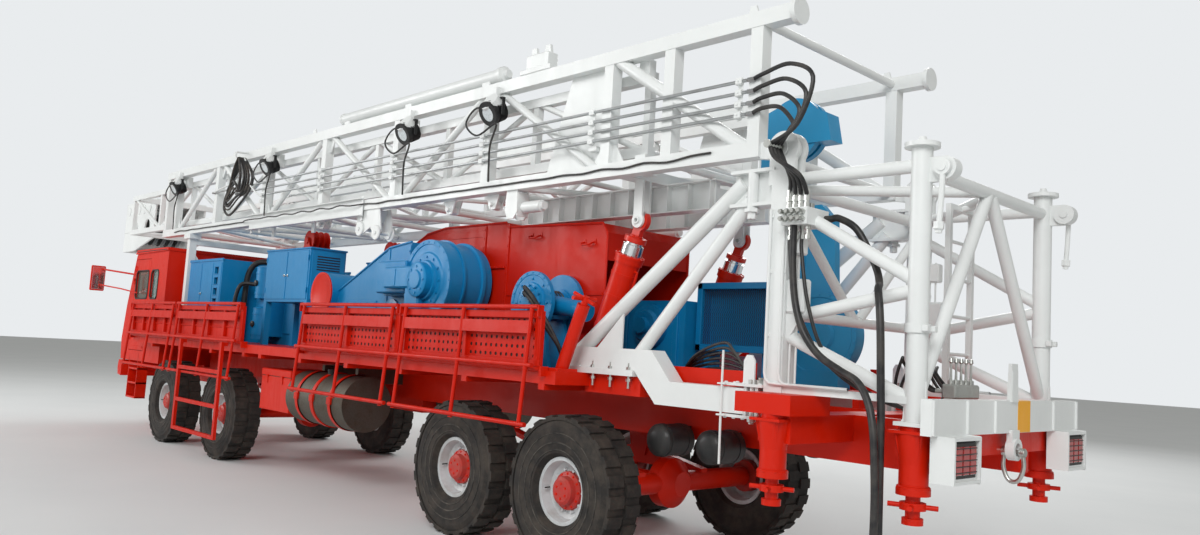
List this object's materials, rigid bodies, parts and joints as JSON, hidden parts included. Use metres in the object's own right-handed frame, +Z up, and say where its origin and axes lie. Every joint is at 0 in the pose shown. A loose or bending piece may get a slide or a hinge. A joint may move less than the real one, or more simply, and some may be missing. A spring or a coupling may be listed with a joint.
{
  "type": "workover rig",
  "caption": "Self-propelled workover rig: wheeled carrier with cab, drawworks deck, folding walkways and a telescopic lattice mast lowered over it.",
  "frame": {"origin": "middle of the rig's length and width, on the ground", "axes": "+X to the cab's end along the length, +Y to the driver's left, +Z up"},
  "size_m": [18.14, 3.52, 4.5618],
  "materials": {
    "hose": "satin",
    "tyre": "matte",
    "glass": "gloss",
    "black": "satin",
    "steel": "satin",
    "white": "gloss",
    "blue": "satin",
    "red": "satin"
  },
  "bodies": {
    "carrier": {"chassis": "red", "deck": "red", "front_axles": "red", "rear_axles": "red", "fuel_tank": "steel", "air_tanks": "black", "rear_beam": "white", "cab_shell": "red", "cab_glass": "glass", "cab_interior": "black", "engine": "blue", "radiator": "blue", "cabinet": "blue", "chain_case": "blue", "drawworks_frame": "blue", "drawworks_guard": "red", "drum_case": "blue", "cooler": "blue", "stowed_jack": "red", "mast_base": "white", "mast_rest": "white", "hose_1": "hose", "hose_2": "hose"},
    "door_left": {"door_left": "red"},
    "door_right": {"door_right": "red"},
    "knuckle_l1": {"knuckle_l1": "red"},
    "knuckle_r1": {"knuckle_r1": "red"},
    "knuckle_l2": {"knuckle_l2": "red"},
    "knuckle_r2": {"knuckle_r2": "red"},
    "wheel_l1": {"wheel_l1": "tyre"},
    "wheel_r1": {"wheel_r1": "tyre"},
    "wheel_l2": {"wheel_l2": "tyre"},
    "wheel_r2": {"wheel_r2": "tyre"},
    "wheel_l3": {"wheel_l3": "tyre"},
    "wheel_r3": {"wheel_r3": "tyre"},
    "wheel_l4": {"wheel_l4": "tyre"},
    "wheel_r4": {"wheel_r4": "tyre"},
    "drum": {"drum": "blue"},
    "mast": {"mast_outer": "white", "mast_fittings": "white", "travelling_block": "blue"},
    "mast_inner": {"mast_inner": "white"},
    "crown_sheaves": {"crown_sheaves": "steel"},
    "raise_barrels": {"raise_barrels": "red"},
    "raise_stages_1": {"raise_stages_1": "steel"},
    "raise_stages_2": {"raise_stages_2": "steel"},
    "raise_rods": {"raise_rods": "steel"},
    "walkway_front_left": {"walkway_front_left": "red"},
    "handrail_front_left": {"handrail_front_left": "red"},
    "walkway_rear_left": {"walkway_rear_left": "red"},
    "handrail_rear_left": {"handrail_rear_left": "red"},
    "walkway_front_right": {"walkway_front_right": "red"},
    "handrail_front_right": {"handrail_front_right": "red"},
    "walkway_rear_right": {"walkway_rear_right": "red"},
    "handrail_rear_right": {"handrail_rear_right": "red"},
    "jack_mid_left": {"jack_mid_left": "red"},
    "jack_rear_left": {"jack_rear_left": "red"},
    "jack_mid_right": {"jack_mid_right": "red"},
    "jack_rear_right": {"jack_rear_right": "red"}
  },
  "joints": [
    {"name": "door_left_swing", "type": "hinge", "parent": "carrier", "child": "door_left", "pos_m": [5.556, 1.265, 2.1], "axis": [0, 0, -1], "range_deg": [0, 70]},
    {"name": "door_right_swing", "type": "hinge", "parent": "carrier", "child": "door_right", "pos_m": [5.556, -1.265, 2.1], "axis": [0, 0, 1], "range_deg": [0, 70]},
    {"name": "steer_l1", "type": "hinge", "parent": "carrier", "child": "knuckle_l1", "pos_m": [3.28, 0.955, 0.62], "axis": [0, 0, 1], "range_deg": [-30, 30]},
    {"name": "steer_r1", "type": "hinge", "parent": "carrier", "child": "knuckle_r1", "pos_m": [3.28, -0.955, 0.62], "axis": [0, 0, 1], "range_deg": [-30, 30]},
    {"name": "steer_l2", "type": "hinge", "parent": "carrier", "child": "knuckle_l2", "pos_m": [1.16, 0.955, 0.62], "axis": [0, 0, 1], "range_deg": [-21, 21]},
    {"name": "steer_r2", "type": "hinge", "parent": "carrier", "child": "knuckle_r2", "pos_m": [1.16, -0.955, 0.62], "axis": [0, 0, 1], "range_deg": [-21, 21]},
    {"name": "wheel_l1_roll", "type": "hinge", "parent": "knuckle_l1", "child": "wheel_l1", "pos_m": [3.28, 1.2, 0.62], "axis": [0, 1, 0], "continuous": true},
    {"name": "wheel_r1_roll", "type": "hinge", "parent": "knuckle_r1", "child": "wheel_r1", "pos_m": [3.28, -1.2, 0.62], "axis": [0, 1, 0], "continuous": true},
    {"name": "wheel_l2_roll", "type": "hinge", "parent": "knuckle_l2", "child": "wheel_l2", "pos_m": [1.16, 1.2, 0.62], "axis": [0, 1, 0], "continuous": true},
    {"name": "wheel_r2_roll", "type": "hinge", "parent": "knuckle_r2", "child": "wheel_r2", "pos_m": [1.16, -1.2, 0.62], "axis": [0, 1, 0], "continuous": true},
    {"name": "wheel_l3_roll", "type": "hinge", "parent": "carrier", "child": "wheel_l3", "pos_m": [-4.38, 1.2, 0.62], "axis": [0, 1, 0], "continuous": true},
    {"name": "wheel_r3_roll", "type": "hinge", "parent": "carrier", "child": "wheel_r3", "pos_m": [-4.38, -1.2, 0.62], "axis": [0, 1, 0], "continuous": true},
    {"name": "wheel_l4_roll", "type": "hinge", "parent": "carrier", "child": "wheel_l4", "pos_m": [-5.88, 1.2, 0.62], "axis": [0, 1, 0], "continuous": true},
    {"name": "wheel_r4_roll", "type": "hinge", "parent": "carrier", "child": "wheel_r4", "pos_m": [-5.88, -1.2, 0.62], "axis": [0, 1, 0], "continuous": true},
    {"name": "drum_turn", "type": "hinge", "parent": "carrier", "child": "drum", "pos_m": [-3.43, 0, 2.4], "axis": [0, 1, 0], "continuous": true},
    {"name": "mast_raise", "type": "hinge", "parent": "carrier", "child": "mast", "pos_m": [-7.74, 0, 3.3], "axis": [0, -1, 0], "range_deg": [0, 90]},
    {"name": "mast_extend", "type": "slide", "parent": "mast", "child": "mast_inner", "axis": [1, 0, 0], "range_m": [0, 9.4]},
    {"name": "sheaves_turn", "type": "hinge", "parent": "mast_inner", "child": "crown_sheaves", "pos_m": [8.37, 0, 3.7], "axis": [0, 1, 0], "continuous": true},
    {"name": "raise_tilt", "type": "hinge", "parent": "carrier", "child": "raise_barrels", "pos_m": [-5.57, 0, 1.68], "axis": [0, -1, 0], "range_deg": [0, 8.06]},
    {"name": "raise_stages_1_slide", "type": "slide", "parent": "raise_barrels", "child": "raise_stages_1", "axis": [-0.3519, 0, 0.936], "range_m": [0, 0.8157]},
    {"name": "raise_stages_2_slide", "type": "slide", "parent": "raise_stages_1", "child": "raise_stages_2", "axis": [-0.3519, 0, 0.936], "range_m": [0, 0.8157]},
    {"name": "raise_rods_slide", "type": "slide", "parent": "raise_stages_2", "child": "raise_rods", "axis": [-0.3519, 0, 0.936], "range_m": [0, 0.8157]},
    {"name": "walkway_front_left_fold", "type": "hinge", "parent": "carrier", "child": "walkway_front_left", "pos_m": [2.49, 1.478, 1.602], "axis": [-1, 0, 0], "range_deg": [0, 90]},
    {"name": "handrail_front_left_fold", "type": "hinge", "parent": "walkway_front_left", "child": "handrail_front_left", "pos_m": [2.49, 1.526, 2.115], "axis": [1, 0, 0], "range_deg": [0, 265.89]},
    {"name": "walkway_rear_left_fold", "type": "hinge", "parent": "carrier", "child": "walkway_rear_left", "pos_m": [-3.54, 1.478, 1.602], "axis": [-1, 0, 0], "range_deg": [0, 90]},
    {"name": "handrail_rear_left_fold", "type": "hinge", "parent": "walkway_rear_left", "child": "handrail_rear_left", "pos_m": [-3.54, 1.526, 2.115], "axis": [1, 0, 0], "range_deg": [0, 265.89]},
    {"name": "walkway_front_right_fold", "type": "hinge", "parent": "carrier", "child": "walkway_front_right", "pos_m": [2.49, -1.478, 1.602], "axis": [1, 0, 0], "range_deg": [0, 90]},
    {"name": "handrail_front_right_fold", "type": "hinge", "parent": "walkway_front_right", "child": "handrail_front_right", "pos_m": [2.49, -1.526, 2.115], "axis": [-1, 0, 0], "range_deg": [0, 265.89]},
    {"name": "walkway_rear_right_fold", "type": "hinge", "parent": "carrier", "child": "walkway_rear_right", "pos_m": [-3.54, -1.478, 1.602], "axis": [1, 0, 0], "range_deg": [0, 90]},
    {"name": "handrail_rear_right_fold", "type": "hinge", "parent": "walkway_rear_right", "child": "handrail_rear_right", "pos_m": [-3.54, -1.526, 2.115], "axis": [-1, 0, 0], "range_deg": [0, 265.89]},
    {"name": "jack_mid_left_screw", "type": "slide", "parent": "carrier", "child": "jack_mid_left", "axis": [0, 0, -1], "range_m": [0, 0.5]},
    {"name": "jack_rear_left_screw", "type": "slide", "parent": "carrier", "child": "jack_rear_left", "axis": [0, 0, -1], "range_m": [0, 0.5]},
    {"name": "jack_mid_right_screw", "type": "slide", "parent": "carrier", "child": "jack_mid_right", "axis": [0, 0, -1], "range_m": [0, 0.5]},
    {"name": "jack_rear_right_screw", "type": "slide", "parent": "carrier", "child": "jack_rear_right", "axis": [0, 0, -1], "range_m": [0, 0.5]}
  ],
  "couplings": [
    {"joint": "steer_r1", "follows": "steer_l1", "ratio": 1},
    {"joint": "steer_l2", "follows": "steer_l1", "ratio": 0.7},
    {"joint": "steer_r2", "follows": "steer_l1", "ratio": 0.7},
    {"joint": "raise_tilt", "follows": "mast_raise", "ratio": 0.087321},
    {"joint": "raise_stages_1_slide", "follows": "mast_raise", "m_per_rad": 0.51802},
    {"joint": "raise_stages_2_slide", "follows": "mast_raise", "m_per_rad": 0.51802},
    {"joint": "raise_rods_slide", "follows": "mast_raise", "m_per_rad": 0.51802},
    {"joint": "handrail_front_left_fold", "follows": "walkway_front_left_fold", "ratio": 2.9543},
    {"joint": "handrail_rear_left_fold", "follows": "walkway_rear_left_fold", "ratio": 2.9543},
    {"joint": "handrail_front_right_fold", "follows": "walkway_front_right_fold", "ratio": 2.9543},
    {"joint": "handrail_rear_right_fold", "follows": "walkway_rear_right_fold", "ratio": 2.9543}
  ]
}
